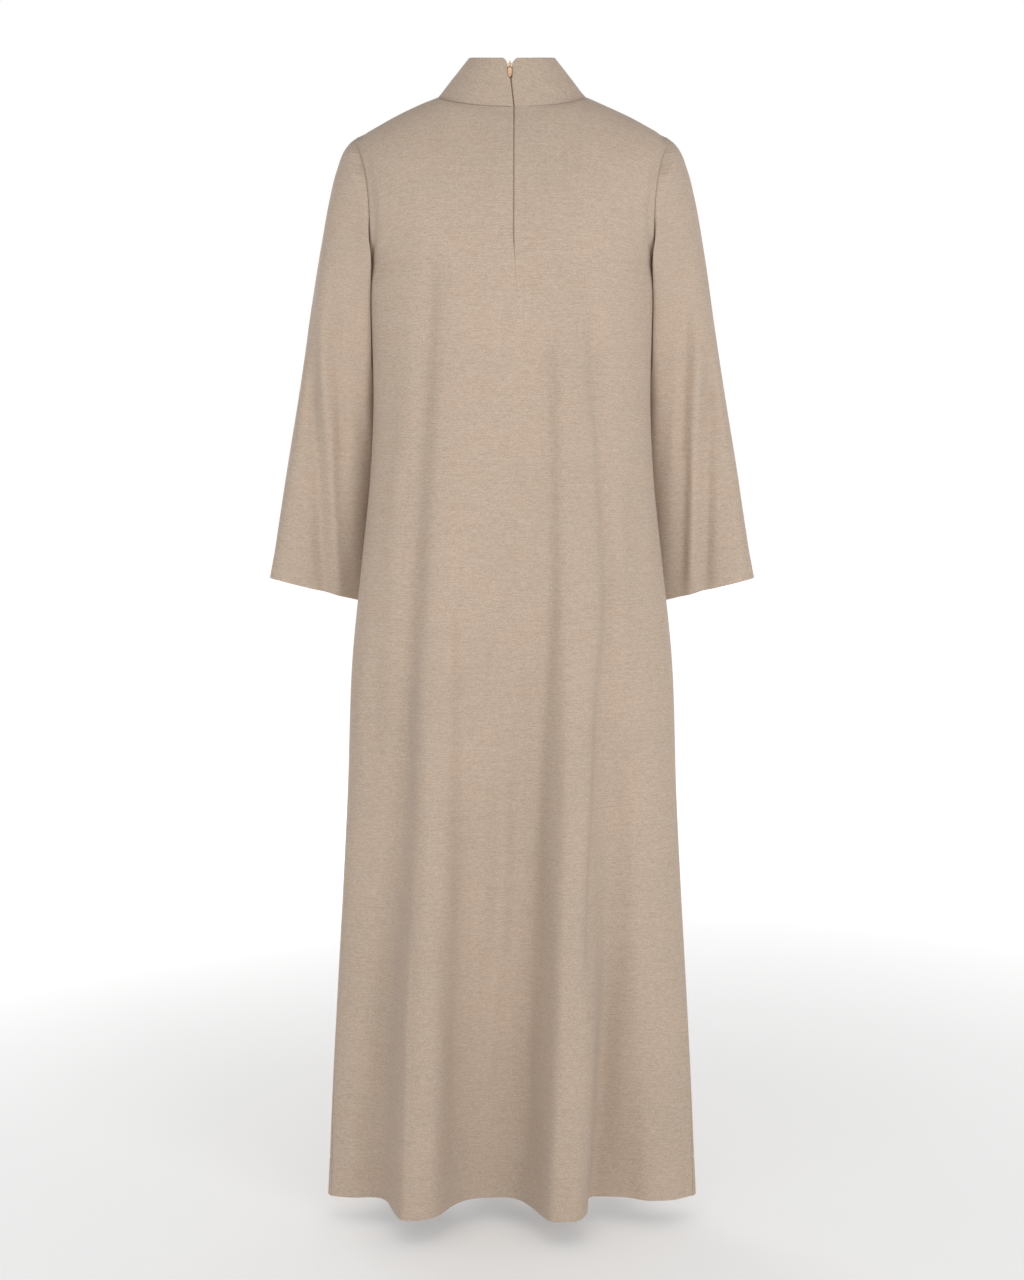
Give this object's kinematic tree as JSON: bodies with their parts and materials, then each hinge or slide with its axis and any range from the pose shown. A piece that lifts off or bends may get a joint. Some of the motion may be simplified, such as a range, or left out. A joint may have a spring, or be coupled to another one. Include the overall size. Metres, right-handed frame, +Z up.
{
  "type": "draped dress",
  "caption": "Long A-line dress with wide long sleeves and a funnel collar, filled out and hollow, draping in deep folds to an open hem, with a zip at the back whose pull tab swings.",
  "frame": {"origin": "the middle of the neck base, level with the two points where the shoulder seams meet the collar", "axes": "+Z up along the dress, the front faces -Y, the wearer's left is +X"},
  "size_m": [0.6218, 0.221, 1.4511],
  "materials": {
    "fabric": "matt sand melange with fine slubs across",
    "zip_tape": "dark brown woven tape",
    "brass": "satin"
  },
  "bodies": {
    "dress": {"front": "fabric", "back": "fabric", "sleeve_left": "fabric", "sleeve_right": "fabric", "collar": "fabric", "zip_tape": "zip_tape", "zip_slider": "brass"},
    "zip_pull": {"zip_pull": "brass"}
  },
  "joints": [
    {"name": "pull_tab", "type": "hinge", "parent": "dress", "child": "zip_pull", "pos_m": [0.00256, 0.04888, 0.03233], "axis": [1, 0, 0], "range_deg": [0, 160]}
  ]
}
